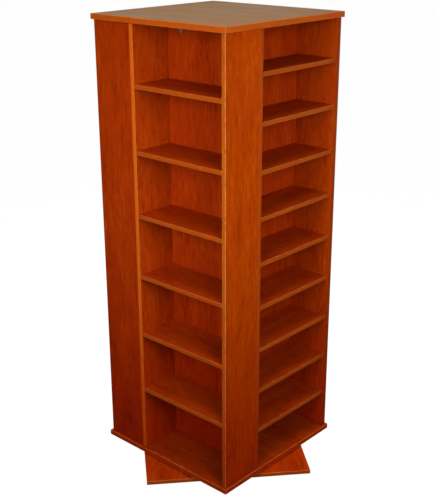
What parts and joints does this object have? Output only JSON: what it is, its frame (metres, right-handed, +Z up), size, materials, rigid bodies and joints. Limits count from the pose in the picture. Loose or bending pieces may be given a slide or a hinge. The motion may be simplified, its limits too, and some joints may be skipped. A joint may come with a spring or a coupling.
{
  "type": "rotating media tower",
  "caption": "Tall square media tower with shelves for disc cases on every face round a closed core, turning on a ball bearing over a flat square base board.",
  "frame": {"origin": "centre of the base board, on the floor at the underside of the glides", "axes": "+Z up along the swivel axis; the DVD face looks along -Y and the CD face along +X, with the base board turned under them"},
  "size_m": [0.8454, 0.8454, 1.6309],
  "materials": {
    "cherry_laminate": "satin cherry wood-grain laminate",
    "steel": "zinc-plated steel",
    "zinc": "plated fasteners",
    "beech": "plain beech",
    "nylon": "matte",
    "cap_plastic": "matte, cherry coloured"
  },
  "bodies": {
    "base": {"base_board": "cherry_laminate", "base_glides": "nylon", "bearing_lower_plate": "steel", "base_bearing_screws": "zinc"},
    "tower": {"bottom_board": "cherry_laminate", "top_board": "cherry_laminate", "front_side_board": "cherry_laminate", "right_side_board": "cherry_laminate", "rear_side_board": "cherry_laminate", "left_side_board": "cherry_laminate", "front_back_board": "cherry_laminate", "right_back_board": "cherry_laminate", "rear_back_board": "cherry_laminate", "left_back_board": "cherry_laminate", "front_shelf_1": "cherry_laminate", "front_shelf_2": "cherry_laminate", "front_shelf_3": "cherry_laminate", "front_shelf_4": "cherry_laminate", "front_shelf_5": "cherry_laminate", "front_shelf_6": "cherry_laminate", "right_shelf_1": "cherry_laminate", "right_shelf_2": "cherry_laminate", "right_shelf_3": "cherry_laminate", "right_shelf_4": "cherry_laminate", "right_shelf_5": "cherry_laminate", "right_shelf_6": "cherry_laminate", "right_shelf_7": "cherry_laminate", "right_shelf_8": "cherry_laminate", "right_shelf_9": "cherry_laminate", "rear_shelf_1": "cherry_laminate", "rear_shelf_2": "cherry_laminate", "rear_shelf_3": "cherry_laminate", "rear_shelf_4": "cherry_laminate", "rear_shelf_5": "cherry_laminate", "rear_shelf_6": "cherry_laminate", "left_shelf_1": "cherry_laminate", "left_shelf_2": "cherry_laminate", "left_shelf_3": "cherry_laminate", "left_shelf_4": "cherry_laminate", "left_shelf_5": "cherry_laminate", "left_shelf_6": "cherry_laminate", "front_shelf_pegs": "steel", "right_shelf_pegs": "steel", "rear_shelf_pegs": "steel", "left_shelf_pegs": "steel", "bearing_upper_plate": "steel", "tower_bearing_screws": "zinc", "carcass_screws": "zinc", "screw_caps": "cap_plastic", "corner_dowels": "beech", "top_dowels": "beech", "cam_bolts": "steel", "cams": "zinc", "bottom_screws": "zinc"},
    "ball_ring": {"bearing_balls": "steel", "bearing_cage": "nylon"}
  },
  "joints": [
    {"name": "swivel", "type": "hinge", "parent": "base", "child": "tower", "pos_m": [0, 0, 0.0249], "axis": [0, 0, 1], "continuous": true},
    {"name": "ball_ring_roll", "type": "hinge", "parent": "base", "child": "ball_ring", "pos_m": [0, 0, 0.02095], "axis": [0, 0, 1], "continuous": true}
  ],
  "couplings": [
    {"joint": "ball_ring_roll", "follows": "swivel", "ratio": 0.5}
  ]
}
